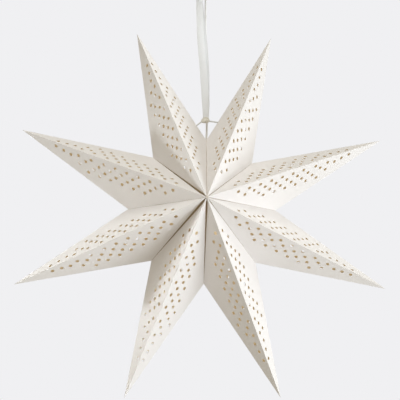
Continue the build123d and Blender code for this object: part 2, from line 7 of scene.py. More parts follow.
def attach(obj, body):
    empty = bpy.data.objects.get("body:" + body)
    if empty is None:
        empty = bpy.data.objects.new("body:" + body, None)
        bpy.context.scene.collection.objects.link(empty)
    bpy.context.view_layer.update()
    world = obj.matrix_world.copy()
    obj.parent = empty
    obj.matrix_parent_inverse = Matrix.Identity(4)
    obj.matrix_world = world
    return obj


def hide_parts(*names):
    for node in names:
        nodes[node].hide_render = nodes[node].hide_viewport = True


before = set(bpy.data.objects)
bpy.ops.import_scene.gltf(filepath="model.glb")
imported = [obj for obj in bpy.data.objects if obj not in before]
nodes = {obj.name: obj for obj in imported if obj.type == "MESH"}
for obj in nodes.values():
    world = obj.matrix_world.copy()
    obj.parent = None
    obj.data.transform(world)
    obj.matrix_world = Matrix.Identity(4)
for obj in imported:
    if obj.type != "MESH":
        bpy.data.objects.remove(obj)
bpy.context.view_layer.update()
scene = bpy.context.scene
scene.view_settings.view_transform = "Standard"

# Camera: it stands a little below the middle of the star and a little to its left, with a long lens,
# so that the eight points spread over the square picture and the flex leaves at its top edge.
STAR_CENTRE = Vector((-0.005783, 0.0, -0.41))
SIGHT_AZIMUTH = math.radians(3.73)
SIGHT_RISE = math.radians(11.69)
SIGHT_DISTANCE = 1.4
PICTURE_PIXELS = 400
FOCAL_PIXELS = 925.85
SENSOR_WIDTH = 36.0
NEAREST_SEEN = 0.01
STAR_RIGHT_PIXELS = 2.55
STAR_DOWN_PIXELS = 10.66

sight = Vector((
    math.sin(SIGHT_AZIMUTH) * math.cos(SIGHT_RISE),
    math.cos(SIGHT_AZIMUTH) * math.cos(SIGHT_RISE),
    math.sin(SIGHT_RISE),
))
camera_data = bpy.data.cameras.new("camera")
camera_data.sensor_width = SENSOR_WIDTH
camera_data.lens = SENSOR_WIDTH * FOCAL_PIXELS / PICTURE_PIXELS
camera_data.shift_x = -STAR_RIGHT_PIXELS / PICTURE_PIXELS
camera_data.shift_y = STAR_DOWN_PIXELS / PICTURE_PIXELS
camera_data.clip_start = NEAREST_SEEN
camera = bpy.data.objects.new("camera", camera_data)
camera.location = STAR_CENTRE - sight * SIGHT_DISTANCE
camera.rotation_euler = sight.to_track_quat("-Z", "Y").to_euler()
scene.collection.objects.link(camera)
scene.camera = camera

# Flex: a round white two-core lead with a PVC sheath. The taut stretch hangs nearly plumb from the cord
# grip under the cup into the lampholder, and a short tail goes on up through the grip to the terminals.
FLEX_Y = 0.009
FLEX_DIAMETER = 0.003
GRIP_EXIT = -0.055
FLEX_ROUTE = (
    (0, FLEX_Y, GRIP_EXIT), (-0.0009, FLEX_Y, -0.105), (0.0019, FLEX_Y, -0.262), (0.0003, FLEX_Y, -0.308),
    (0, FLEX_Y, -0.354),
)
TAIL_ROUTE = ((0, FLEX_Y, -0.0545), (0, FLEX_Y, -0.032), (0, FLEX_Y, -0.0096))
FLEX_ROUNDNESS = 5
FLEX_STEPS = 12
ROD_ORDER = 3
GRAIN_DETAIL = 4.0
GRAIN_HEIGHT = 0.0005
MOTTLE_DETAIL = 2.0
GLOSS_DRIFT = 0.15


def surface_grain_group():
    """Fine grain and a slow mottle, each from 0 to 1, from a position on the piece."""
    group = bpy.data.node_groups.new("surface_grain", "ShaderNodeTree")
    group.interface.new_socket("Position", in_out="INPUT", socket_type="NodeSocketVector")
    group.interface.new_socket("Grain scale", in_out="INPUT", socket_type="NodeSocketFloat")
    group.interface.new_socket("Mottle scale", in_out="INPUT", socket_type="NodeSocketFloat")
    group.interface.new_socket("Grain", in_out="OUTPUT", socket_type="NodeSocketFloat")
    group.interface.new_socket("Mottle", in_out="OUTPUT", socket_type="NodeSocketFloat")
    entry = group.nodes.new("NodeGroupInput")
    leave = group.nodes.new("NodeGroupOutput")
    for noise_name, detail in (("Grain", GRAIN_DETAIL), ("Mottle", MOTTLE_DETAIL)):
        noise = group.nodes.new("ShaderNodeTexNoise")
        noise.inputs["Detail"].default_value = detail
        group.links.new(entry.outputs["Position"], noise.inputs["Vector"])
        group.links.new(entry.outputs[f"{noise_name} scale"], noise.inputs["Scale"])
        group.links.new(noise.outputs["Fac"], leave.inputs[noise_name])
    return group


SURFACE_GRAIN = surface_grain_group()


def colour_mix(tree, first, second):
    """A node of a material that mixes two colours."""
    mix = tree.nodes.new("ShaderNodeMix")
    mix.data_type = "RGBA"
    mix.inputs["A"].default_value = (*first, 1)
    mix.inputs["B"].default_value = (*second, 1)
    return mix


def grained_material(name, colour, shade, roughness, grain, mottle, relief, metallic=0.0):
    """A finish that drifts from a colour to a shade and has a fine grain in its gloss and relief."""
    material = bpy.data.materials.new(name)
    material.use_nodes = True
    tree = material.node_tree
    shader = tree.nodes["Principled BSDF"]
    shader.inputs["Metallic"].default_value = metallic
    place = tree.nodes.new("ShaderNodeTexCoord")
    surface = tree.nodes.new("ShaderNodeGroup")
    surface.name = "surface"
    surface.node_tree = SURFACE_GRAIN
    surface.inputs["Grain scale"].default_value = grain
    surface.inputs["Mottle scale"].default_value = mottle
    tint = colour_mix(tree, colour, shade)
    tint.name = "tint"
    gloss = tree.nodes.new("ShaderNodeMapRange")
    gloss.inputs["To Min"].default_value = roughness * (1 - GLOSS_DRIFT)
    gloss.inputs["To Max"].default_value = min(1.0, roughness * (1 + GLOSS_DRIFT))
    bump = tree.nodes.new("ShaderNodeBump")
    bump.name = "relief"
    bump.inputs["Strength"].default_value = relief
    bump.inputs["Distance"].default_value = GRAIN_HEIGHT
    tree.links.new(place.outputs["Object"], surface.inputs["Position"])
    tree.links.new(surface.outputs["Mottle"], tint.inputs["Factor"])
    tree.links.new(surface.outputs["Grain"], gloss.inputs["Value"])
    tree.links.new(surface.outputs["Grain"], bump.inputs["Height"])
    tree.links.new(tint.outputs["Result"], shader.inputs["Base Color"])
    tree.links.new(gloss.outputs["Result"], shader.inputs["Roughness"])
    tree.links.new(bump.outputs["Normal"], shader.inputs["Normal"])
    return material


def bent_rod(name, route, radius, roundness, steps):
    """A round rod along a route of points, as one open curve with closed ends."""
    curve = bpy.data.curves.new(name, "CURVE")
    curve.dimensions = "3D"
    curve.bevel_depth = radius
    curve.bevel_resolution = roundness
    curve.use_fill_caps = True
    spline = curve.splines.new("NURBS")
    spline.points.add(len(route) - 1)
    for point, place in zip(spline.points, route):
        point.co = (*place, 1)
    spline.order_u = ROD_ORDER
    spline.use_endpoint_u = True
    spline.resolution_u = steps
    rod = bpy.data.objects.new(name, curve)
    scene.collection.objects.link(rod)
    return rod


FLEX_SHEATH = grained_material(
    "flex_sheath", (0.93, 0.93, 0.92), (0.89, 0.89, 0.88),
    roughness=0.45, grain=900, mottle=60, relief=0.15,
)

taut_flex = bent_rod("taut_flex", FLEX_ROUTE, FLEX_DIAMETER / 2, FLEX_ROUNDNESS, FLEX_STEPS)
taut_flex.data.materials.append(FLEX_SHEATH)
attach(taut_flex, "lamp")
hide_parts("pendant_flex")

tail_flex = bent_rod("tail_flex", TAIL_ROUTE, FLEX_DIAMETER / 2, FLEX_ROUNDNESS, FLEX_STEPS)
tail_flex.data.materials.append(FLEX_SHEATH)
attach(tail_flex, "ceiling")
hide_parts("flex_tail")

# Ceiling plate: a flat bar of zinc-plated steel, screwed to the ceiling through its two slots. The
# plating has a faint bloom and a fine grain.
PLATE_UNDERSIDE = -0.0016


def paint(piece, material):
    """Give a piece one finish in place of any other."""
    piece.data.materials.clear()
    piece.data.materials.append(material)


paint(nodes["ceiling_plate"], grained_material(
    "zinc_plate", (0.68, 0.69, 0.70), (0.56, 0.57, 0.59),
    roughness=0.36, grain=900, mottle=110, relief=0.1, metallic=1.0,
))

# Ceiling cup: a deep-drawn steel cup with white stoved enamel, which has the slight orange peel of
# sprayed paint. The hook and the cord grip hold it up under the plate.
ENAMEL_COAT = 0.35
ENAMEL_COAT_ROUGHNESS = 0.12

cup_enamel = grained_material(
    "cup_enamel", (0.90, 0.90, 0.885), (0.87, 0.87, 0.85),
    roughness=0.27, grain=260, mottle=14, relief=0.12,
)
enamel = cup_enamel.node_tree.nodes["Principled BSDF"]
enamel.inputs["Coat Weight"].default_value = ENAMEL_COAT
enamel.inputs["Coat Roughness"].default_value = ENAMEL_COAT_ROUGHNESS
paint(nodes["ceiling_cup"], cup_enamel)

# Hook: a bent rod of zinc-plated steel. A rolled thread runs down its shank, through the plate and the
# cup, and the ribbon lies on the level seat between the shank and the upturned tip.
HOOK_ROD = 0.002
HOOK_SHANK_X = -0.022
HOOK_TIP_X = -0.002
HOOK_SEAT = -0.055
HOOK_ROUTE = (
    (HOOK_SHANK_X, 0, -0.044), (HOOK_SHANK_X, 0, -0.049), (HOOK_SHANK_X, 0, HOOK_SEAT),
    (-0.016, 0, HOOK_SEAT), (-0.008, 0, HOOK_SEAT),
    (HOOK_TIP_X, 0, HOOK_SEAT), (HOOK_TIP_X, 0, -0.050), (HOOK_TIP_X, 0, -0.046),
)
HOOK_ROUNDNESS = 6
HOOK_STEPS = 10
HOOK_CREASE = math.radians(45)
HOOK_THREAD_PITCH = 0.0007
HOOK_THREAD_DEPTH = 0.0003
HOOK_THREAD_FOOT = -0.045
THREAD_WAVE = 8
THREAD_STEPS = 24
TOUCHING = 1e-6


def take_in_hand(piece):
    """Make a piece the only selected one, and the one that is worked on."""
    bpy.ops.object.select_all(action="DESELECT")
    piece.select_set(True)
    bpy.context.view_layer.objects.active = piece


def join_pieces(pieces):
    """Make several pieces one mesh, which keeps the name of the first."""
    bpy.ops.object.select_all(action="DESELECT")
    for piece in pieces:
        piece.select_set(True)
    bpy.context.view_layer.objects.active = pieces[0]
    bpy.ops.object.join()


def apply_modifier(piece, name, kind, **settings):
    """Apply a modifier with its settings to the piece in hand."""
    modifier = piece.modifiers.new(name, kind)
    for setting, value in settings.items():
        setattr(modifier, setting, value)
    bpy.ops.object.modifier_apply(modifier=name)


def weld(distance):
    """Merge the doubles of the piece in hand, then turn its faces outward."""
    bpy.ops.object.mode_set(mode="EDIT")
    bpy.ops.mesh.select_all(action="SELECT")
    bpy.ops.mesh.remove_doubles(threshold=distance)
    bpy.ops.mesh.normals_make_consistent(inside=False)
    bpy.ops.object.mode_set(mode="OBJECT")


def select_edges(piece, chosen):
    """Select the edges for which a test holds, and no others, and go on in edit mode."""
    bpy.ops.object.mode_set(mode="EDIT")
    bpy.ops.mesh.select_mode(type="EDGE")
    bpy.ops.mesh.select_all(action="DESELECT")
    bpy.ops.object.mode_set(mode="OBJECT")
    for edge in piece.data.edges:
        edge.select = chosen(*edge.vertices)
    bpy.ops.object.mode_set(mode="EDIT")


def screw_thread(name, x, y, top, foot, crest, depth, pitch, sheet=0.0):
    """A rolled right-hand thread between two heights, solid, or hollow where the sheet has a thickness.

    Every thread of one pitch is in step, so that a cap lies in the grooves of its shell.
    """
    start = (math.floor(foot / pitch) - 1) * pitch
    bpy.ops.object.select_all(action="DESELECT")
    bpy.ops.mesh.primitive_circle_add(vertices=THREAD_WAVE + 1, radius=crest)
    thread = bpy.context.object
    thread.name = name
    for number, vertex in enumerate(thread.data.vertices):
        wave = number / THREAD_WAVE
        vertex.co = (crest - depth * (1 - math.cos(2 * math.pi * wave)) / 2, 0, start + pitch * wave)
    select_edges(thread, lambda first, second: abs(first - second) == THREAD_WAVE)
    bpy.ops.mesh.delete(type="EDGE")
    bpy.ops.object.mode_set(mode="OBJECT")
    turns = math.ceil((top - start) / pitch) + 1
    apply_modifier(
        thread, "turns", "SCREW", screw_offset=pitch, iterations=turns, steps=THREAD_STEPS,
        render_steps=THREAD_STEPS,
    )
    weld(TOUCHING)
    outward = sum(Vector((*face.center[:2], 0)).dot(face.normal) for face in thread.data.polygons)
    if outward < 0:
        thread.data.flip_normals()
    if sheet:
        apply_modifier(thread, "sheet", "SOLIDIFY", thickness=sheet, offset=-1.0)
    bpy.ops.object.mode_set(mode="EDIT")
    for height, normal in ((top, (0, 0, 1)), (foot, (0, 0, -1))):
        bpy.ops.mesh.select_all(action="SELECT")
        bpy.ops.mesh.bisect(
            plane_co=(0, 0, height), plane_no=normal, clear_outer=True, use_fill=True, threshold=TOUCHING
        )
    bpy.ops.mesh.select_all(action="SELECT")
    bpy.ops.mesh.normals_make_consistent(inside=False)
    bpy.ops.object.mode_set(mode="OBJECT")
    thread.data.transform(Matrix.Translation((x, y, 0)))
    return thread


hook = bent_rod("bent_hook", HOOK_ROUTE, HOOK_ROD, HOOK_ROUNDNESS, HOOK_STEPS)
take_in_hand(hook)
bpy.ops.object.convert(target="MESH")
weld(TOUCHING)
shank = screw_thread(
    "shank", HOOK_SHANK_X, 0.0, 0.0, HOOK_THREAD_FOOT, HOOK_ROD, HOOK_THREAD_DEPTH, HOOK_THREAD_PITCH
)
join_pieces([hook, shank])
bpy.ops.object.shade_smooth_by_angle(angle=HOOK_CREASE)
paint(hook, grained_material(
    "zinc_rod", (0.70, 0.70, 0.71), (0.58, 0.59, 0.60),
    roughness=0.3, grain=1500, mottle=160, relief=0.12, metallic=1.0,
))
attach(hook, "ceiling")
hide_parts("ribbon_hook")

# Hook nuts and washer: one plated hexagon nut clamps the hook under the plate, and another, with a
# washer, holds the cup up. The nuts' corners are turned off at both faces.
NUT_SIDES = 6
NUT_HEIGHT = 0.0032
NUT_CORNER_RADIUS = 0.004
NUT_TURNED_SIDES = 48
NUT_TURNED_RADIUS = 0.0039
NUT_TURNED_CHAMFER = 0.0006
NUT_BORE_SIDES = 32
NUT_BORE = 0.0021
NUT_EDGE = 0.00012
CUP_NUT_TOP = -0.0388
CUT_PAST = 0.001
CHAMFER_SEGMENTS = 3
EDGE_SEGMENTS = 2
MACHINED_CREASE = math.radians(35)


def round_bar(sides, radius, low, high, x, y, chamfer=0.0):
    """An upright bar between two heights, with its two end edges bevelled."""
    bpy.ops.object.select_all(action="DESELECT")
    bpy.ops.mesh.primitive_cylinder_add(
        vertices=sides, radius=radius, depth=high - low, location=(x, y, (low + high) / 2),
        rotation=(0, 0, math.pi / 2),
    )
    bar = bpy.context.object
    bpy.ops.object.transform_apply(location=True, rotation=True, scale=True)
    if chamfer:
        heights = [vertex.co.z for vertex in bar.data.vertices]
        select_edges(bar, lambda first, second: abs(heights[first] - heights[second]) < TOUCHING)
        bpy.ops.mesh.bevel(offset=chamfer, segments=CHAMFER_SEGMENTS, affect="EDGES")
        bpy.ops.object.mode_set(mode="OBJECT")
    return bar


def carve(piece, cutter, operation="DIFFERENCE"):
    """Cut one shape from another, or keep what they share, and put the cutter away."""
    take_in_hand(piece)
    apply_modifier(piece, "cut", "BOOLEAN", operation=operation, solver="EXACT", object=cutter)
    bpy.data.objects.remove(cutter)


def smooth_edges(piece, width):
    """Break a piece's sharp edges, as tumbling and moulding leave them."""
    take_in_hand(piece)
    apply_modifier(
        piece, "broken_edges", "BEVEL", width=width, segments=EDGE_SEGMENTS, limit_method="ANGLE",
        angle_limit=MACHINED_CREASE,
    )
    bpy.ops.object.shade_smooth_by_angle(angle=MACHINED_CREASE)
    apply_modifier(piece, "flat_faces", "WEIGHTED_NORMAL", keep_sharp=True)


NUT_ZINC = grained_material(
    "nut_zinc", (0.72, 0.72, 0.73), (0.60, 0.61, 0.62),
    roughness=0.28, grain=1800, mottle=300, relief=0.1, metallic=1.0,
)

for name, top, node_name in (
    ("plate_nut", PLATE_UNDERSIDE, "hook_plate_nut"), ("cup_nut", CUP_NUT_TOP, "hook_cup_nut"),
):
    low = top - NUT_HEIGHT
    nut = round_bar(NUT_SIDES, NUT_CORNER_RADIUS, low, top, HOOK_SHANK_X, 0.0)
    turned = round_bar(NUT_TURNED_SIDES, NUT_TURNED_RADIUS, low, top, HOOK_SHANK_X, 0.0, NUT_TURNED_CHAMFER)
    carve(nut, turned, "INTERSECT")
    carve(nut, round_bar(NUT_BORE_SIDES, NUT_BORE, low - CUT_PAST, top + CUT_PAST, HOOK_SHANK_X, 0.0))
    nut.name = name
    smooth_edges(nut, NUT_EDGE)
    paint(nut, NUT_ZINC)
    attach(nut, "ceiling")
    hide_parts(node_name)
paint(nodes["hook_washer"], NUT_ZINC)

# Cord grip and its nut: white moulded nylon. The tapered nose under the cup holds the flex, and the nut
# inside the cup clamps its threaded stem.
WHITE_NYLON = grained_material(
    "white_nylon", (0.88, 0.88, 0.86), (0.84, 0.84, 0.81),
    roughness=0.42, grain=2200, mottle=70, relief=0.12,
)
paint(nodes["cord_grip"], WHITE_NYLON)
paint(nodes["cord_grip_nut"], WHITE_NYLON)

# Terminal block: a moulded block under the plate with two wire bores in each side, a groove beside each
# pole, and a slotted brass screw under each pole. The flex goes up into the middle of its floor.
BLOCK_SIZE = (0.024, 0.012, 0.013)
BLOCK_FLOOR = -0.0146
BLOCK_EDGE = 0.0004
BLOCK_BORE_SIDES = 24
GROOVE_SIZE = (0.0016, 0.013, 0.004)
GROOVE_X = 0.0032
POLE_X = 0.0065
WIRE_BORE = 0.0016
WIRE_BORE_REACH = 0.01
WIRE_BORE_DROP = 0.006
SHANK_BORE = 0.0014
SHANK_BORE_DEPTH = 0.0061
FLEX_BORE = 0.0017
FLEX_BORE_DEPTH = 0.005
TERMINAL_HEAD = (0.0024, 0.0012)
TERMINAL_SHANK = (0.0013, 0.0060)
SCREW_SIDES = 32
SCREW_SLOT = (0.0007, 0.0007)
SCREW_HEAD_CHAMFER = 0.35
SCREW_THREAD_DEPTH = 0.0002
SCREW_THREAD_PITCH = 0.0006


def box_block(size, centre):
    """A plain block of a size round a centre."""
    bpy.ops.object.select_all(action="DESELECT")
    bpy.ops.mesh.primitive_cube_add(size=1, location=centre, scale=size)
    bpy.ops.object.transform_apply(location=True, rotation=True, scale=True)
    return bpy.context.object


def slotted_screw(x, y, seat, head, shank, down):
    """A pan-head screw on a seat, its head below when it is driven from below, with a driver slot."""
    side = -1 if down else 1
    outer = seat + side * head[1]
    low, high = sorted((seat, outer))
    screw = round_bar(SCREW_SIDES, head[0], low, high, x, y, head[1] * SCREW_HEAD_CHAMFER)
    carve(screw, box_block((SCREW_SLOT[0], 3 * head[0], 2 * SCREW_SLOT[1]), (x, y, outer)))
    foot, top = sorted((seat, seat - side * shank[1]))
    stem = screw_thread("stem", x, y, top, foot, shank[0], SCREW_THREAD_DEPTH, SCREW_THREAD_PITCH)
    join_pieces([screw, stem])
    bpy.ops.object.shade_smooth_by_angle(angle=MACHINED_CREASE)
    return screw


def screw_pair(name, half_pitch, seat, head, shank, down, material, node_name, body):
    """Two like screws on either side of the flex, as one piece."""
    pair = [slotted_screw(side * half_pitch, FLEX_Y, seat, head, shank, down) for side in (-1, 1)]
    join_pieces(pair)
    pair[0].name = name
    paint(pair[0], material)
    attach(pair[0], body)
    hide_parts(node_name)


block = box_block(BLOCK_SIZE, (0, FLEX_Y, (PLATE_UNDERSIDE + BLOCK_FLOOR) / 2))
block.name = "terminal_strip"
carve(block, box_block(GROOVE_SIZE, (GROOVE_X, FLEX_Y, BLOCK_FLOOR)))
carve(block, box_block(GROOVE_SIZE, (-GROOVE_X, FLEX_Y, BLOCK_FLOOR)))
bore_foot = BLOCK_FLOOR - CUT_PAST
for side in (-1, 1):
    bore = round_bar(BLOCK_BORE_SIDES, WIRE_BORE, -WIRE_BORE_REACH, WIRE_BORE_REACH, 0, 0)
    middle = Matrix.Translation((side * POLE_X, FLEX_Y, PLATE_UNDERSIDE - WIRE_BORE_DROP))
    bore.data.transform(middle @ Matrix.Rotation(math.pi / 2, 4, "X"))
    carve(block, bore)
    carve(block, round_bar(
        BLOCK_BORE_SIDES, SHANK_BORE, bore_foot, BLOCK_FLOOR + SHANK_BORE_DEPTH, side * POLE_X, FLEX_Y
    ))
carve(block, round_bar(BLOCK_BORE_SIDES, FLEX_BORE, bore_foot, BLOCK_FLOOR + FLEX_BORE_DEPTH, 0, FLEX_Y))
smooth_edges(block, BLOCK_EDGE)
paint(block, grained_material(
    "block_moulding", (0.86, 0.86, 0.83), (0.81, 0.81, 0.77),
    roughness=0.5, grain=1600, mottle=90, relief=0.15,
))
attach(block, "ceiling")
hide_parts("terminal_block")

PLAIN_BRASS = grained_material(
    "plain_brass", (0.80, 0.60, 0.29), (0.68, 0.49, 0.22),
    roughness=0.3, grain=1500, mottle=240, relief=0.12, metallic=1.0,
)
screw_pair("slotted_terminal_screws", POLE_X, BLOCK_FLOOR, TERMINAL_HEAD, TERMINAL_SHANK, True,
           PLAIN_BRASS, "terminal_screws", "ceiling")

# Ribbon: a narrow off-white woven band, folded double over the hook. Its two strands hang down
# together, lie a little apart sideways, and run into the knot; it is gathered where it rides the hook.
RIBBON_WIDTH = 0.011
RIBBON_CLOTH = 0.0004
RIBBON_HOOK = Vector((-0.012, 0.0, -0.055))
RIBBON_FOOT = Vector((-0.0015, 0.0, -0.2634))
RIBBON_LOOP = 0.0027
RIBBON_ACROSS = 10
RIBBON_DOWN = 96
RIBBON_TURN = 24
RIBBON_CREASE = math.radians(50)
STRAND_HALF_GAP = 0.0006
STRAND_SPREAD = 0.0012
STRAND_SPREAD_HASTE = 1.15
BACK_STRAND_SPREAD = 0.0027
BACK_STRAND_START = 0.2
RIBBON_SLACK = 0.0021
SLACK_START = 0.1
SLACK_LENGTH = 0.7
HOOK_GATHER = 0.72
HOOK_GATHER_START = 0.75
KNOT_GATHER = 0.82
KNOT_GATHER_END = 0.12
RIBBON_CUP = 0.0005
RIBBON_SWAY = 0.0004
SWAY_WAVES = 1.5
SWAY_TWIST = 0.6
WEAVE_UNEVENNESS = 0.6
WEAVE_DETAIL = 1.0
WEAVE_RELIEF = 0.35
WEAVE_HEIGHT = 0.0002
CLOTH_SHEEN = 0.25
CLOTH_SHEEN_ROUGHNESS = 0.4


def ribbon_line():
    """Middle line of the band from the front strand's foot over the hook to the back strand's foot.

    Each step has its place, its side from -1 in front to 1 behind, and its share of the way up.
    """
    front = []
    top = []
    back = []
    for step in range(RIBBON_DOWN + 1):
        share = step / RIBBON_DOWN
        middle = RIBBON_FOOT - (RIBBON_FOOT - RIBBON_HOOK) * share
        apart = Vector((0, STRAND_HALF_GAP + (RIBBON_LOOP - STRAND_HALF_GAP) * share, 0))
        front.append((middle - apart, -1, share))
        back.insert(0, (middle + apart, 1, share))
    for step in range(1, RIBBON_TURN):
        turn = math.pi * step / RIBBON_TURN
        away = Vector((0, -math.cos(turn) * RIBBON_LOOP, math.sin(turn) * RIBBON_LOOP))
        top.append((RIBBON_HOOK + away, -math.cos(turn), 1.0))
    return front + top + back


def woven_group():
    """Plain weave from a position counted in threads: the height of the cloth, from 0 to 1."""
    group = bpy.data.node_groups.new("woven_threads", "ShaderNodeTree")
    group.interface.new_socket("Threads", in_out="INPUT", socket_type="NodeSocketVector")
    group.interface.new_socket("Height", in_out="OUTPUT", socket_type="NodeSocketFloat")
    entry = group.nodes.new("NodeGroupInput")
    leave = group.nodes.new("NodeGroupOutput")
    waves = []
    for direction in ("X", "Y"):
        wave = group.nodes.new("ShaderNodeTexWave")
        wave.bands_direction = direction
        wave.inputs["Scale"].default_value = 1.0
        wave.inputs["Distortion"].default_value = WEAVE_UNEVENNESS
        wave.inputs["Detail"].default_value = WEAVE_DETAIL
        group.links.new(entry.outputs["Threads"], wave.inputs["Vector"])
        waves.append(wave)
    crossing = group.nodes.new("ShaderNodeMath")
    crossing.operation = "MULTIPLY"
    group.links.new(waves[0].outputs["Fac"], crossing.inputs[0])
    group.links.new(waves[1].outputs["Fac"], crossing.inputs[1])
    group.links.new(crossing.outputs["Value"], leave.inputs["Height"])
    return group


WOVEN_THREADS = woven_group()


def woven_material(name, colour, shade, coordinates, threads):
    """Woven cloth that drifts from a colour to a shade, with the weave in relief."""
    material = grained_material(name, colour, shade, roughness=0.75, grain=700, mottle=90, relief=0.1)
    tree = material.node_tree
    shader = tree.nodes["Principled BSDF"]
    shader.inputs["Sheen Weight"].default_value = CLOTH_SHEEN
    shader.inputs["Sheen Roughness"].default_value = CLOTH_SHEEN_ROUGHNESS
    place = tree.nodes.new("ShaderNodeTexCoord")
    count = tree.nodes.new("ShaderNodeMapping")
    count.inputs["Scale"].default_value = threads
    weave = tree.nodes.new("ShaderNodeGroup")
    weave.node_tree = WOVEN_THREADS
    bump = tree.nodes.new("ShaderNodeBump")
    bump.inputs["Strength"].default_value = WEAVE_RELIEF
    bump.inputs["Distance"].default_value = WEAVE_HEIGHT
    tree.links.new(place.outputs[coordinates], count.inputs["Vector"])
    tree.links.new(count.outputs["Vector"], weave.inputs["Threads"])
    tree.links.new(weave.outputs["Height"], bump.inputs["Height"])
    tree.links.new(tree.nodes["relief"].outputs["Normal"], bump.inputs["Normal"])
    tree.links.new(bump.outputs["Normal"], shader.inputs["Normal"])
    return material


line = ribbon_line()
bpy.ops.object.select_all(action="DESELECT")
bpy.ops.mesh.primitive_grid_add(x_subdivisions=RIBBON_ACROSS, y_subdivisions=len(line) - 1, size=1)
ribbon = bpy.context.object
ribbon.name = "ribbon_band"
for vertex in ribbon.data.vertices:
    step = round((vertex.co.y + 0.5) * (len(line) - 1))
    across = vertex.co.x * 2
    place, side, share = line[step]
    spread = STRAND_SPREAD * side * math.sin(math.pi * min(1.0, share * STRAND_SPREAD_HASTE))
    spread += RIBBON_SLACK * math.sin(math.pi * min(1.0, (share + SLACK_START) / SLACK_LENGTH))
    if side > 0:
        behind = math.pi * max(0.0, share - BACK_STRAND_START) / (1 - BACK_STRAND_START)
        spread += BACK_STRAND_SPREAD * math.sin(behind)
    near_hook = max(0.0, (share - HOOK_GATHER_START) / (1 - HOOK_GATHER_START))
    near_knot = max(0.0, 1 - share / KNOT_GATHER_END)
    gather = 1.0 - (1.0 - HOOK_GATHER) * near_hook**2 - (1.0 - KNOT_GATHER) * near_knot
    cup = RIBBON_CUP * side * (1 - across * across)
    sway = RIBBON_SWAY * math.sin(2 * math.pi * share * SWAY_WAVES + SWAY_TWIST * across)
    vertex.co = place + Vector((
        across * gather * RIBBON_WIDTH / 2 + spread,
        cup * gather + sway * (1 - share) * share * 4,
        0,
    ))
apply_modifier(ribbon, "cloth", "SOLIDIFY", thickness=RIBBON_CLOTH, offset=0.0)
bpy.ops.object.shade_smooth_by_angle(angle=RIBBON_CREASE)
paint(ribbon, woven_material(
    "ribbon_cloth", (0.87, 0.875, 0.895), (0.83, 0.835, 0.85), "UV", threads=(8, 320, 1)
))
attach(ribbon, "ribbon_band")
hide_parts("ribbon")

# Knot: the two strands tied tightly round the crown of the hanger wire, so that the ribbon is
# crushed into a small lump of crossing folds, a little fuller on its left and flatter under the wire.
KNOT_CENTRE = Vector((-0.0015, 0.0, -0.26865))
KNOT_HEART = 0.0036
HEART_SEGMENTS = 32
HEART_RINGS = 16
HEART_STRETCH = (1.4, 0.85, 1.1)
KNOT_LOOPS = (
    # radius of the loop, radius of the fold, tilt about X, Y and Z in degrees, place from the middle
    (0.0042, 0.0018, (82, 16, 0), (0.0008, 0.0, 0.0010)),
    (0.0038, 0.0017, (70, -38, 10), (-0.0014, 0.0, -0.0004)),
    (0.0030, 0.0015, (15, 62, 0), (0.0010, -0.0002, -0.0010)),
)
LOOP_SEGMENTS = 40
FOLD_SEGMENTS = 12
LOOP_STRETCH = (1.0, 1.0, 1.25)
KNOT_VOXEL = 0.00035
KNOT_EASE = 0.5
KNOT_EASE_TIMES = 3
KNOT_FLATNESS_BELOW = 0.66

bpy.ops.object.select_all(action="DESELECT")
bpy.ops.mesh.primitive_uv_sphere_add(
    segments=HEART_SEGMENTS, ring_count=HEART_RINGS, radius=KNOT_HEART, location=KNOT_CENTRE
)
knot = bpy.context.object
knot.name = "tied_knot"
knot.scale = HEART_STRETCH
knot_parts = [knot]
for loop, fold, tilt, offset in KNOT_LOOPS:
    bpy.ops.mesh.primitive_torus_add(
        major_radius=loop, minor_radius=fold, major_segments=LOOP_SEGMENTS, minor_segments=FOLD_SEGMENTS,
        location=KNOT_CENTRE + Vector(offset), rotation=[math.radians(turn) for turn in tilt],
    )
    bpy.context.object.scale = LOOP_STRETCH
    knot_parts.append(bpy.context.object)
join_pieces(knot_parts)
bpy.ops.object.transform_apply(location=True, rotation=True, scale=True)
apply_modifier(knot, "crushed", "REMESH", mode="VOXEL", voxel_size=KNOT_VOXEL)
apply_modifier(knot, "eased", "SMOOTH", factor=KNOT_EASE, iterations=KNOT_EASE_TIMES)
for vertex in knot.data.vertices:
    if vertex.co.z < KNOT_CENTRE.z:
        vertex.co.z = KNOT_CENTRE.z + (vertex.co.z - KNOT_CENTRE.z) * KNOT_FLATNESS_BELOW
bpy.ops.object.shade_smooth()
# The knot's cloth is painted darker and warmer than the ribbon's: painted shade in its crushed folds.
paint(knot, woven_material(
    "knot_cloth", (0.82, 0.795, 0.725), (0.71, 0.67, 0.575), "Object", threads=(700, 700, 700)
))
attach(knot, "hanger")
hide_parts("ribbon_knot")

# Hanger wire: a white-painted steel bow through a hole in each of the two points at the seam.
# Its ends turn up inside the points, and the knot sits on its crown.
paint(nodes["hanger_wire"], grained_material(
    "wire_paint", (0.76, 0.76, 0.74), (0.70, 0.70, 0.68),
    roughness=0.4, grain=1200, mottle=120, relief=0.2,
))

# Star points: eight hollow points, each folded from one sheet of thin white card with punched rows of
# round holes, glued to its neighbours by the fins along the valleys and fastened at the seam on top.
STAR_RADIUS = 0.3
VALLEY_RADIUS = 0.1105
STAR_HALF_DEPTH = 0.095
CARD = 0.0006
GLUE_GAP = 0.0001
SEAM_GAP = 0.0016
FOLD_GAP = 0.0005
FIN_WIDTH = 0.008
FIN_SQUARENESS = 0.9
CARD_INSIDE_SLOT = 1
FIN_SLOT = 2
CARD_CREASE = math.radians(25)
CARD_SPECULAR = 0.3
GLOW_START = 0.06
GLOW_END = 0.26
POINT_LEANS = (-1.3, 0.0, 0.4, 0.1, -0.3, 0.1, 1.4, 2.4)
VALLEY_LEANS = (3.0, 0.3, -0.9, -0.3, -0.9, -0.3, 0.4, 2.2)
VALLEY_RISES = (0.0, -0.0036, 0.0006, 0.0015, 0.0005, -0.0019, 0.0016, 0.0007)
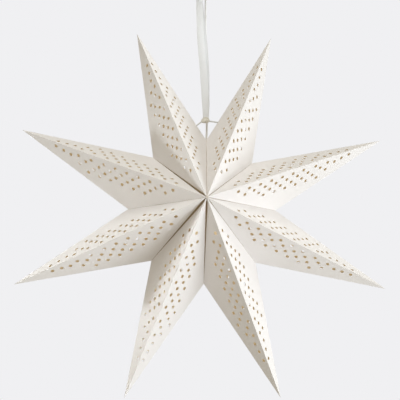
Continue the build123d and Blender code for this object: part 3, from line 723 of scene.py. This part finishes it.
VALLEY_GAPES = (0.0, 0.0003, 0.0003, 0.0003, 0.0014, 0.0016, 0.0, 0.0016)
APEX_TAPER = 0.22
SEAM_LEAN = VALLEY_LEANS[0]
POINT_COUNT = len(POINT_LEANS)
POINT_STEP = 360 / POINT_COUNT

RIDGE_LENGTH = 0.3147
NOTCH_ALONG = 0.1260
NOTCH_ACROSS = 0.0732
HOLE_RADIUS = 0.0027
HOLE_SIDES = 12
HOLE_STEP = (0.0088, 0.0078)
ROW_START = (0.0728, 0.0093)
ROW_STEP = 0.0194
ROW_COUNT = 6
ROW_HOLES = 4
HOLES = [(0.0538, 0.0095), (0.0658, 0.0192)]
HOLES += [
    (ROW_START[0] + ROW_STEP * row + HOLE_STEP[0] * hole, ROW_START[1] + HOLE_STEP[1] * hole)
    for row in range(ROW_COUNT)
    for hole in range(ROW_HOLES)
]
HOLES += [(0.1920, 0.0093), (0.2015, 0.0155), (0.2118, 0.0220)]
HOLES += [(0.2143, 0.0093), (0.2275, 0.0123), (0.2403, 0.0093), (0.2543, 0.0070)]
STRIPS_ALONG = 15
CUTS_ALONG = [RIDGE_LENGTH * cut / STRIPS_ALONG for cut in range(1, STRIPS_ALONG)]
CUTS_ACROSS = (0.0045, 0.0145, 0.0260, 0.0400, 0.0550)
PANEL_BOW = 0.0007
BOW_BY_POINT = 2.1
BOW_BY_PANEL = 1.3
FULLER_BOW = {(5, 0): 0.0020}  # by point and panel
FOLD_WELD = 1e-5
FIN_WELD = 3e-5
ON_FOLD = 2e-6
SORTING_PLACE = (0.73, 0.41, 0.29)


def star_place(angle, radius, forward=0.0):
    """Place on the star, at an angle clockwise from straight up."""
    turn = math.radians(angle)
    return STAR_CENTRE + Vector((radius * math.sin(turn), -forward, radius * math.cos(turn)))


def tip_angle(index):
    return (index + 0.5) * POINT_STEP + POINT_LEANS[index]


def valley_angle(index):
    """Angle of the valley before a point; valley 0, which is also the last, is the seam."""
    index = index % POINT_COUNT
    return index * POINT_STEP + VALLEY_LEANS[index]


def valley_radius(index):
    return VALLEY_RADIUS + VALLEY_RISES[index % POINT_COUNT]


def fin_share(radius):
    """Share of a valley, from the star's centre out, that its glue fin leaves open."""
    return 1 - FIN_WIDTH * math.hypot(radius, STAR_HALF_DEPTH) / (radius * STAR_HALF_DEPTH)


def punched_panel():
    """One flat panel of card with its holes, ridge along X from the apex, scored for a gentle bow."""
    bpy.ops.object.select_all(action="DESELECT")
    bpy.ops.mesh.primitive_circle_add(vertices=3, radius=1)
    panel = bpy.context.object
    corners = ((0, 0, 0), (RIDGE_LENGTH, 0, 0), (NOTCH_ALONG, NOTCH_ACROSS, 0))
    for vertex, corner in zip(panel.data.vertices, corners):
        vertex.co = corner
    bpy.ops.object.mode_set(mode="EDIT")
    for along, across in HOLES:
        bpy.ops.mesh.primitive_circle_add(
            vertices=HOLE_SIDES, radius=HOLE_RADIUS, location=(along, across, 0)
        )
    bpy.ops.mesh.select_all(action="SELECT")
    bpy.ops.mesh.fill(use_beauty=True)
    for normal, cuts in (((1, 0, 0), CUTS_ALONG), ((0, 1, 0), CUTS_ACROSS)):
        for cut in cuts:
            bpy.ops.mesh.select_all(action="SELECT")
            bpy.ops.mesh.bisect(plane_co=[cut * part for part in normal], plane_no=normal)
    bpy.ops.object.mode_set(mode="OBJECT")
    return panel


def bowed_panel(panel, apex, tip, notch, inside, bow):
    """A copy of the flat panel, bowed a little and set between the apex, the tip and the notch."""
    copy = panel.copy()
    copy.data = panel.data.copy()
    scene.collection.objects.link(copy)
    for vertex in copy.data.vertices:
        along, across, _ = vertex.co
        from_apex = along / NOTCH_ALONG
        from_tip = (RIDGE_LENGTH - along) / (RIDGE_LENGTH - NOTCH_ALONG)
        width = NOTCH_ACROSS * min(from_apex, from_tip)
        if width > TOUCHING:
            vertex.co.z = bow * width / NOTCH_ACROSS * math.sin(math.pi * min(1.0, across / width))
    ridge = (tip - apex) / RIDGE_LENGTH
    side = (notch - apex - ridge * NOTCH_ALONG) / NOTCH_ACROSS
    outward = ridge.cross(side).normalized()
    if outward.dot(inside - apex) > 0:
        outward.negate()
    place = Matrix((ridge, side, outward)).transposed().to_4x4()
    place.translation = apex
    copy.data.transform(place)
    if place.determinant() < 0:
        copy.data.flip_normals()
    return copy


def card_material(name, colour, shade):
    """White card with a soft tooth and a faint cloudiness."""
    material = grained_material(name, colour, shade, roughness=0.72, grain=1400, mottle=26, relief=0.08)
    shader = material.node_tree.nodes["Principled BSDF"]
    shader.inputs["Specular IOR Level"].default_value = CARD_SPECULAR
    return material


def painted_glow_card_material(name, colour, shade, near_glow, far_glow):
    """Card with a painted glow, warm and fading from the middle of the star to the tips, in place of the
    lamp's light.
    """
    material = card_material(name, colour, shade)
    tree = material.node_tree
    shader = tree.nodes["Principled BSDF"]
    shader.inputs["Emission Strength"].default_value = 1.0
    place = tree.nodes.new("ShaderNodeTexCoord")
    away = tree.nodes.new("ShaderNodeVectorMath")
    away.operation = "DISTANCE"
    away.inputs[1].default_value = STAR_CENTRE
    reach = tree.nodes.new("ShaderNodeMapRange")
    reach.inputs["From Min"].default_value = GLOW_START
    reach.inputs["From Max"].default_value = GLOW_END
    glow = colour_mix(tree, near_glow, far_glow)
    tree.links.new(place.outputs["Object"], away.inputs[0])
    tree.links.new(away.outputs["Value"], reach.inputs["Value"])
    tree.links.new(reach.outputs["Result"], glow.inputs["Factor"])
    tree.links.new(glow.outputs["Result"], shader.inputs["Emission Color"])
    return material


# The two points at the seam each have a hole for the hanger wire, and a notch behind it for the flex.
WIRE_HOLES = {0: Vector((0.017631, 0.0, -0.270580)), 7: Vector((-0.015015, 0.0, -0.276018))}
WIRE_HOLE_RADIUS = 0.0017
WIRE_HOLE_SIDES = 10
WIRE_HOLE_REACH = 0.005
CORD_NOTCH = Vector((0.0, FLEX_Y, -0.31215))
CORD_NOTCH_REACH = 0.0325
CORD_NOTCH_SIDES = [
    (Vector((across, along, 0)).normalized(), distance)
    for across, along, distance in (
        (1, 0, 0.0072), (-1, 0, 0.0072), (0, 1, 0.008), (0, -1, 0.008),
        (1, 1, 0.0097), (1, -1, 0.0097), (-1, 1, 0.0097), (-1, -1, 0.0097),
    )
]

CARD_FACE = card_material("card_face", (0.875, 0.84, 0.825), (0.845, 0.81, 0.79))
# The inside of the card is painted tan and given a painted glow, which stand in for the lamp's warm light
# through the card and between its walls.
CARD_INSIDE = painted_glow_card_material(
    "card_inside", (0.78, 0.72, 0.61), (0.75, 0.69, 0.57), (0.13, 0.097, 0.052), (0.10, 0.079, 0.048)
)
# The fins' faces, white card like the rest, are painted dark brown with a faint painted glow: painted shade
# for the deep gaps in the valleys.
CARD_FIN = painted_glow_card_material(
    "card_fin", (0.50, 0.42, 0.30), (0.46, 0.38, 0.27), (0.045, 0.031, 0.016), (0.04, 0.028, 0.015)
)


def cut_away(point, centre, axis, sides, foot):
    """Cut a many-sided opening along an axis; each side is a direction with its distance."""
    bpy.ops.object.mode_set(mode="EDIT")
    for side, distance in sides:
        bpy.ops.mesh.select_all(action="SELECT")
        bpy.ops.mesh.bisect(plane_co=centre + side * distance, plane_no=side, threshold=TOUCHING)
    bpy.ops.mesh.select_all(action="DESELECT")
    bpy.ops.object.mode_set(mode="OBJECT")
    for face in point.data.polygons:
        from_centre = face.center - centre
        face.select = abs(from_centre.dot(axis)) < foot and all(
            from_centre.dot(side) < distance for side, distance in sides
        )
    bpy.ops.object.mode_set(mode="EDIT")
    bpy.ops.mesh.select_mode(type="FACE")
    bpy.ops.mesh.delete(type="FACE")
    bpy.ops.mesh.select_mode(type="EDGE")
    bpy.ops.object.mode_set(mode="OBJECT")


def turn_in_fin(point, apex, notch, radius, inside, gap, flare, gape):
    """Trim a point along one of its valleys, turn a glue fin in from there, and let the fold gape."""
    away = (notch - STAR_CENTRE).cross(apex - STAR_CENTRE).normalized()
    if away.dot(inside - STAR_CENTRE) > 0:
        away.negate()
    edge = STAR_CENTRE - away * gap / 2
    bpy.ops.object.mode_set(mode="EDIT")
    bpy.ops.mesh.select_all(action="SELECT")
    bpy.ops.mesh.bisect(plane_co=edge, plane_no=away, clear_outer=True, threshold=TOUCHING)
    bpy.ops.mesh.select_all(action="DESELECT")
    bpy.ops.object.mode_set(mode="OBJECT")
    level = [abs((vertex.co - edge).dot(away)) < ON_FOLD for vertex in point.data.vertices]
    faces_on = [0] * len(point.data.edges)
    for polygon in point.data.polygons:
        for loop in polygon.loop_indices:
            faces_on[point.data.loops[loop].edge_index] += 1
    for fold in point.data.edges:
        first, second = fold.vertices
        fold.select = faces_on[fold.index] == 1 and level[first] and level[second]
    bpy.ops.object.mode_set(mode="EDIT")
    bpy.ops.mesh.extrude_edges_move()
    bpy.ops.transform.resize(value=(fin_share(radius),) * 3, center_override=edge)
    bpy.ops.transform.translate(value=-away * flare)
    bpy.ops.mesh.select_all(action="SELECT")
    bpy.ops.mesh.sort_elements(type="CURSOR_DISTANCE", elements={"VERT", "EDGE", "FACE"})
    bpy.ops.object.mode_set(mode="OBJECT")
    # The faces of the fins take the card painted in shade.
    for face in point.data.polygons:
        square = abs(face.normal.dot(away)) > FIN_SQUARENESS
        if square and abs((face.center - edge).dot(away)) < SEAM_GAP:
            face.material_index = FIN_SLOT
    valley = (notch - STAR_CENTRE) / radius
    for vertex in point.data.vertices:
        depth = abs(vertex.co.y) / STAR_HALF_DEPTH
        along = (vertex.co - STAR_CENTRE).dot(valley)
        beyond_fin = depth + along / radius > (1 + fin_share(radius)) / 2
        if beyond_fin and abs((vertex.co - edge).dot(away)) < ON_FOLD:
            vertex.co -= away * min(gape * depth, APEX_TAPER * max(0.0, along))


def folded_point(panel, index):
    """One hollow point of card: four panels joined at their folds, with a fin inside each valley."""
    angles = (valley_angle(index), valley_angle(index + 1))
    gaps = [FOLD_GAP if angle == SEAM_LEAN else GLUE_GAP for angle in angles]
    flares = [SEAM_GAP - FOLD_GAP if angle == SEAM_LEAN else 0.0 for angle in angles]
    gapes = [VALLEY_GAPES[(index + side) % POINT_COUNT] for side in (0, 1)]
    radii = (valley_radius(index), valley_radius(index + 1))
    notches = [star_place(angle, radius) for angle, radius in zip(angles, radii)]
    tip = star_place(tip_angle(index), STAR_RADIUS)
    apexes = [star_place(0, 0, side * STAR_HALF_DEPTH) for side in (1, -1)]
    inside = star_place(tip_angle(index), VALLEY_RADIUS)
    panels = []
    for apex in apexes:
        for notch in notches:
            bow = PANEL_BOW * math.sin(BOW_BY_POINT * index + BOW_BY_PANEL * len(panels))
            bow = FULLER_BOW.get((index, len(panels)), bow)
            panels.append(bowed_panel(panel, apex, tip, notch, inside, bow))
    join_pieces(panels)
    point = panels[0]
    point.name = f"folded_point_{index + 1}"
    for card in (CARD_FACE, CARD_INSIDE, CARD_FIN):
        point.data.materials.append(card)
    bpy.ops.object.mode_set(mode="EDIT")
    bpy.ops.mesh.select_mode(type="EDGE")
    bpy.ops.mesh.select_all(action="SELECT")
    bpy.ops.mesh.remove_doubles(threshold=FOLD_WELD)
    for notch, radius, gap, flare, gape in zip(notches, radii, gaps, flares, gapes):
        turn_in_fin(point, apexes[0], notch, radius, inside, gap, flare, gape)
    weld(FIN_WELD)
    faced_out = sum(face.normal.dot(face.center - inside) * face.area for face in point.data.polygons)
    if faced_out < 0:
        point.data.flip_normals()
    if index in WIRE_HOLES:
        cut_away(point, CORD_NOTCH, Vector((0, 0, 1)), CORD_NOTCH_SIDES, CORD_NOTCH_REACH)
        through = (WIRE_HOLES[index] - KNOT_CENTRE).normalized()
        first = through.cross(Vector((0, 1, 0))).normalized()
        second = through.cross(first)
        ring = [
            (first * math.cos(turn) + second * math.sin(turn), WIRE_HOLE_RADIUS)
            for turn in (2 * math.pi * step / WIRE_HOLE_SIDES for step in range(WIRE_HOLE_SIDES))
        ]
        cut_away(point, WIRE_HOLES[index], through, ring, WIRE_HOLE_REACH)
    # The inside faces of the card take the card painted tan with the painted glow.
    apply_modifier(point, "card", "SOLIDIFY", thickness=CARD, offset=-1.0, material_offset=CARD_INSIDE_SLOT)
    bpy.ops.object.shade_smooth_by_angle(angle=CARD_CREASE)
    return point


flat_panel = punched_panel()
# An extrusion numbers its vertices by chance, so they are sorted by their distance from the cursor, which
# keeps the meshes of repeated runs nearly alike.
scene.cursor.location = SORTING_PLACE
for index in range(POINT_COUNT):
    point = folded_point(flat_panel, index)
    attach(point, "star")
    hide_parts(f"star_point_{index + 1}")
scene.cursor.location = (0, 0, 0)
bpy.data.objects.remove(flat_panel)

# Seam dots: four pairs of touch-fastener dots between the seam's two fins, which let the star open to
# be folded flat. One half of each pair is stiff hooks, the other a soft looped pile.
paint(nodes["seam_hook_dots"], woven_material(
    "hook_dots", (0.86, 0.86, 0.84), (0.76, 0.76, 0.73), "Object", threads=(900, 900, 900)
))
paint(nodes["seam_loop_dots"], woven_material(
    "loop_dots", (0.90, 0.90, 0.88), (0.82, 0.82, 0.79), "Object", threads=(500, 500, 500)
))

# Lampholder: a white moulded cap and skirt on the flex. A cord grip in the cap holds the flex, and a
# black insulating insert on a ledge in the skirt carries two brass terminal screws.
HOLDER_SEAT = -0.360
HOLDER_POLE_X = 0.007
HOLDER_HEAD = (0.0023, 0.0014)
HOLDER_SHANK = (0.00125, 0.0070)

holder_plastic = grained_material(
    "holder_plastic", (0.88, 0.88, 0.87), (0.85, 0.85, 0.83),
    roughness=0.33, grain=2400, mottle=50, relief=0.08,
)
paint(nodes["holder_cap"], holder_plastic)
paint(nodes["holder_body"], holder_plastic)
paint(nodes["holder_grip"], WHITE_NYLON)
paint(nodes["holder_insert"], grained_material(
    "insert_moulding", (0.035, 0.035, 0.037), (0.055, 0.053, 0.05),
    roughness=0.5, grain=1800, mottle=120, relief=0.2,
))
screw_pair("slotted_holder_screws", HOLDER_POLE_X, HOLDER_SEAT, HOLDER_HEAD, HOLDER_SHANK, False,
           PLAIN_BRASS, "holder_screws", "lamp")

# Screw shell and centre contact: thin brass, the shell rolled into a round thread that takes the bulb's
# cap, the contact a sprung tongue bent down through the opening in the shell's head.
LAMP_PITCH = 0.00282
SHELL_TOP = -0.372
SHELL_FOOT = -0.392
SHELL_CREST = 0.0077
SHELL_DEPTH = 0.0004
SHELL_SHEET = 0.0002
SHELL_HEAD = 0.0004
SHELL_HEAD_SIDES = 48
SHELL_OPENING = 0.0045
SHELL_OPENING_SIDES = 40
ROLLED_CREASE = math.radians(40)

shell = screw_thread(
    "threaded_shell", 0.0, FLEX_Y, SHELL_TOP - SHELL_HEAD, SHELL_FOOT, SHELL_CREST, SHELL_DEPTH, LAMP_PITCH,
    SHELL_SHEET,
)
shell_head = round_bar(SHELL_HEAD_SIDES, SHELL_CREST, SHELL_TOP - SHELL_HEAD, SHELL_TOP, 0.0, FLEX_Y)
carve(shell_head, round_bar(
    SHELL_OPENING_SIDES, SHELL_OPENING, SHELL_TOP - CUT_PAST, SHELL_TOP + CUT_PAST, 0.0, FLEX_Y
))
join_pieces([shell, shell_head])
bpy.ops.object.shade_smooth_by_angle(angle=ROLLED_CREASE)
paint(shell, PLAIN_BRASS)
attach(shell, "lamp")
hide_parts("holder_shell")
paint(nodes["holder_contact"], PLAIN_BRASS)

# Bulb base: a nickel-plated cap rolled into a small lamp thread, closed at its top by a black glass
# insulator with a soldered brass contact.
BULB_CAP_TOP = -0.3791
BULB_CAP_FOOT = -0.3991
BULB_CREST = 0.0069
BULB_THREAD_DEPTH = 0.0006
BULB_CAP_SHEET = 0.0003

bulb_cap = screw_thread(
    "threaded_cap", 0.0, FLEX_Y, BULB_CAP_TOP, BULB_CAP_FOOT, BULB_CREST, BULB_THREAD_DEPTH, LAMP_PITCH,
    BULB_CAP_SHEET,
)
bpy.ops.object.shade_smooth_by_angle(angle=ROLLED_CREASE)
paint(bulb_cap, grained_material(
    "nickel_plate", (0.76, 0.74, 0.71), (0.66, 0.64, 0.61),
    roughness=0.22, grain=1400, mottle=180, relief=0.08, metallic=1.0,
))
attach(bulb_cap, "bulb")
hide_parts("bulb_cap")
paint(nodes["bulb_contact"], grained_material(
    "solder_contact", (0.74, 0.66, 0.46), (0.62, 0.60, 0.55),
    roughness=0.38, grain=1200, mottle=600, relief=0.3, metallic=1.0,
))
paint(nodes["bulb_insulator"], grained_material(
    "black_glass", (0.03, 0.03, 0.034), (0.05, 0.045, 0.045),
    roughness=0.16, grain=900, mottle=160, relief=0.08,
))

# Bulb body: a white heat-sink collar, a white light board with rows of yellow chips, and a globe of opal
# plastic that glows evenly when the lamp is lit.
CHIP_YELLOW = (0.85, 0.66, 0.16)
CHIP_SCALE = (75, 75, 75)
CHIP_EDGE = (0.5, 0.55)
OPAL_GLOW = (0.34, 0.25, 0.14)
OPAL_DIM_GLOW = (0.29, 0.21, 0.115)


def board_material():
    """White solder mask, with chips where the crests of a coarse weave stand out."""
    material = grained_material(
        "light_board", (0.84, 0.86, 0.82), (0.80, 0.82, 0.78),
        roughness=0.45, grain=1500, mottle=120, relief=0.1,
    )
    tree = material.node_tree
    place = tree.nodes.new("ShaderNodeTexCoord")
    count = tree.nodes.new("ShaderNodeMapping")
    count.inputs["Scale"].default_value = CHIP_SCALE
    chips = tree.nodes.new("ShaderNodeGroup")
    chips.node_tree = WOVEN_THREADS
    edge = tree.nodes.new("ShaderNodeMapRange")
    edge.inputs["From Min"].default_value = CHIP_EDGE[0]
    edge.inputs["From Max"].default_value = CHIP_EDGE[1]
    chip_colour = colour_mix(tree, CHIP_YELLOW, CHIP_YELLOW)
    tree.links.new(place.outputs["Object"], count.inputs["Vector"])
    tree.links.new(count.outputs["Vector"], chips.inputs["Threads"])
    tree.links.new(chips.outputs["Height"], edge.inputs["Value"])
    tree.links.new(edge.outputs["Result"], chip_colour.inputs["Factor"])
    tree.links.new(tree.nodes["tint"].outputs["Result"], chip_colour.inputs["A"])
    tree.links.new(chip_colour.outputs["Result"], tree.nodes["Principled BSDF"].inputs["Base Color"])
    return material


def opal_material():
    """Milky plastic, lit from inside and a little cloudy."""
    material = grained_material(
        "opal_globe", (0.94, 0.92, 0.86), (0.91, 0.89, 0.82),
        roughness=0.3, grain=700, mottle=40, relief=0.04,
    )
    tree = material.node_tree
    shader = tree.nodes["Principled BSDF"]
    shader.inputs["Emission Strength"].default_value = 1.0
    glow = colour_mix(tree, OPAL_GLOW, OPAL_DIM_GLOW)
    tree.links.new(tree.nodes["surface"].outputs["Mottle"], glow.inputs["Factor"])
    tree.links.new(glow.outputs["Result"], shader.inputs["Emission Color"])
    return material


paint(nodes["bulb_collar"], grained_material(
    "collar_plastic", (0.87, 0.87, 0.85), (0.83, 0.83, 0.80),
    roughness=0.4, grain=2000, mottle=60, relief=0.1,
))
paint(nodes["led_board"], board_material())
paint(nodes["bulb_globe"], opal_material())

# Floor, backdrop and light: a wide, round, pale floor far below, a pale even backdrop, and soft lamps:
# a broad key at the lower right, one beside it, one above, and a narrow beam and a weak fill at the left.
FLOOR_Z = -2.4
FLOOR_RADIUS = 120
FLOOR_SIDES = 96
FLOOR_PALENESS = 0.85
BACKDROP = (0.871, 0.871, 0.888, 1)
AROUND = (0.395, 0.362, 0.282, 1)
COOL = (0.943, 1.011, 1.075)
MILD = (0.956, 0.994, 1.01)
WARM = (1.05, 0.98, 0.86)
EVERY_WAY = 180
LOWER_STAR = STAR_CENTRE + Vector((0.0, 0.0, -0.13))
LAMPS = (
    # name, degrees round from the camera side to the right, degrees up, distance, half-width in
    # degrees, light, colour, width of the beam in degrees, and the place that the lamp is turned to
    ("key_lamp", 58, -22, 2.0, 23, 1.80, COOL, EVERY_WAY, STAR_CENTRE),
    ("side_lamp", 75, 16, 2.0, 14, 0.36, COOL, EVERY_WAY, STAR_CENTRE),
    ("top_lamp", -6, 54, 2.0, 15, 1.08, MILD, EVERY_WAY, STAR_CENTRE),
    ("left_lamp", -92.5, 4.0, 1.3, 2, 1.45, COOL, 40, LOWER_STAR),
    ("low_fill", -62, -40, 2.0, 20, 0.17, WARM, EVERY_WAY, STAR_CENTRE),
)


def seen_as_background(tree):
    """1 where a ray from the camera, a reflection or a clear piece meets the surroundings, else 0."""
    path = tree.nodes.new("ShaderNodeLightPath")
    seen = path.outputs["Is Camera Ray"]
    for ray in ("Is Glossy Ray", "Is Transmission Ray"):
        either = tree.nodes.new("ShaderNodeMath")
        either.operation = "MAXIMUM"
        tree.links.new(seen, either.inputs[0])
        tree.links.new(path.outputs[ray], either.inputs[1])
        seen = either.outputs["Value"]
    return seen


bpy.ops.object.select_all(action="DESELECT")
bpy.ops.mesh.primitive_circle_add(
    vertices=FLOOR_SIDES, radius=FLOOR_RADIUS, fill_type="NGON", location=(0, 0, FLOOR_Z)
)
floor = bpy.context.object
floor.name = "floor"
floor_pale = grained_material(
    "floor_pale", (0.84, 0.84, 0.85), (0.82, 0.82, 0.83),
    roughness=0.8, grain=60, mottle=3, relief=0.05,
)
tree = floor_pale.node_tree
paleness = tree.nodes.new("ShaderNodeMath")
paleness.operation = "MULTIPLY"
paleness.inputs[1].default_value = FLOOR_PALENESS
pale = tree.nodes.new("ShaderNodeEmission")
pale.inputs["Color"].default_value = BACKDROP
mix = tree.nodes.new("ShaderNodeMixShader")
tree.links.new(seen_as_background(tree), paleness.inputs[0])
tree.links.new(paleness.outputs["Value"], mix.inputs["Fac"])
tree.links.new(tree.nodes["Principled BSDF"].outputs["BSDF"], mix.inputs[1])
tree.links.new(pale.outputs["Emission"], mix.inputs[2])
tree.links.new(mix.outputs["Shader"], tree.nodes["Material Output"].inputs["Surface"])
floor.data.materials.append(floor_pale)

for name, azimuth, rise, distance, half_width, light, colour, beam, target in LAMPS:
    azimuth, rise, half_width = (math.radians(angle) for angle in (azimuth, rise, half_width))
    away = Vector((
        math.sin(azimuth) * math.cos(rise), -math.cos(azimuth) * math.cos(rise), math.sin(rise)
    ))
    radius = distance * math.tan(half_width)
    lamp_data = bpy.data.lights.new(name, "AREA")
    lamp_data.shape = "DISK"
    lamp_data.size = 2 * radius
    lamp_data.spread = math.radians(beam)
    lamp_data.energy = light / math.sin(half_width) ** 2 * math.pi * radius**2
    if beam < EVERY_WAY:
        half_beam = math.radians(beam / 2)
        lamp_data.energy *= 1 - half_beam / math.tan(half_beam)
    lamp_data.color = colour
    lamp = bpy.data.objects.new(name, lamp_data)
    lamp.location = STAR_CENTRE + away * distance
    lamp.rotation_euler = (target - lamp.location).to_track_quat("-Z", "Y").to_euler()
    lamp.visible_camera = False
    scene.collection.objects.link(lamp)

world = bpy.data.worlds.new("studio")
scene.world = world
world.use_nodes = True
tree = world.node_tree
even_light = tree.nodes["Background"]
even_light.inputs["Color"].default_value = AROUND
backdrop = tree.nodes.new("ShaderNodeBackground")
backdrop.inputs["Color"].default_value = BACKDROP
mix = tree.nodes.new("ShaderNodeMixShader")
tree.links.new(seen_as_background(tree), mix.inputs["Fac"])
tree.links.new(even_light.outputs["Background"], mix.inputs[1])
tree.links.new(backdrop.outputs["Background"], mix.inputs[2])
tree.links.new(mix.outputs["Shader"], tree.nodes["World Output"].inputs["Surface"])
